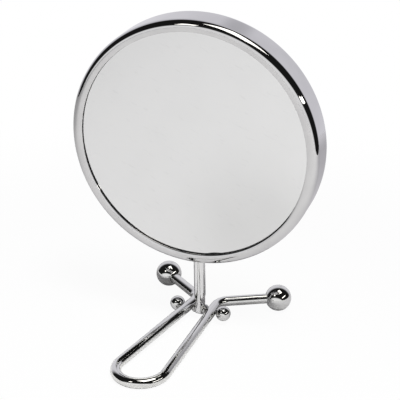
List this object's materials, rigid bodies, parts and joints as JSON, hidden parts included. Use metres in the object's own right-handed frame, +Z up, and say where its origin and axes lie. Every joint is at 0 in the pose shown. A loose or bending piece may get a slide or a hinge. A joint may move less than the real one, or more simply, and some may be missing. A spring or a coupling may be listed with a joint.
{
  "type": "folding hand and stand mirror",
  "caption": "Round two-sided chrome mirror on a stem, hinged at the waist of a bent wire handle that serves as a ball-footed table stand, a hand grip and a hanging loop.",
  "frame": {"origin": "on the table, in the middle of the footprint of the standing mirror", "axes": "+Z up; -Y towards the person in front of the flat glass, where the wire loop points; +X to that person's right"},
  "size_m": [0.1506, 0.133, 0.1935],
  "materials": {
    "rim_chrome": "polished chrome plate on steel",
    "stem_chrome": "polished chrome plate on steel",
    "wire_chrome": "polished chrome plate on steel wire",
    "ball_chrome": "polished chrome plate on steel",
    "bead_chrome": "polished chrome plate on steel",
    "flat_mirror": "flat silvered glass",
    "magnifying_mirror": "concave silvered glass",
    "gasket_rubber": "matt black",
    "spacer_plastic": "natural moulded",
    "backing_card": "grey-brown card",
    "plain_steel": "zinc plated",
    "washer_nylon": "natural nylon"
  },
  "bodies": {
    "stand": {"handle_wire": "wire_chrome", "left_foot_ball": "ball_chrome", "right_foot_ball": "ball_chrome", "hinge_pin": "plain_steel", "left_pin_ball": "ball_chrome", "right_pin_ball": "ball_chrome", "left_spacer_bead": "bead_chrome", "right_spacer_bead": "bead_chrome", "left_friction_washer": "washer_nylon", "right_friction_washer": "washer_nylon"},
    "head": {"rim_band": "rim_chrome", "front_glass": "flat_mirror", "rear_glass": "magnifying_mirror", "front_gasket": "gasket_rubber", "rear_gasket": "gasket_rubber", "spacer_ring": "spacer_plastic", "backing_board": "backing_card", "stem_saddle": "plain_steel", "spring_washer": "plain_steel", "stem_nut": "plain_steel", "stem": "stem_chrome"}
  },
  "joints": [
    {"name": "head_tilt", "type": "hinge", "parent": "stand", "child": "head", "pos_m": [0, 0.02637, 0.00686], "axis": [-1, 0, 0], "range_deg": [-65, 90]}
  ]
}
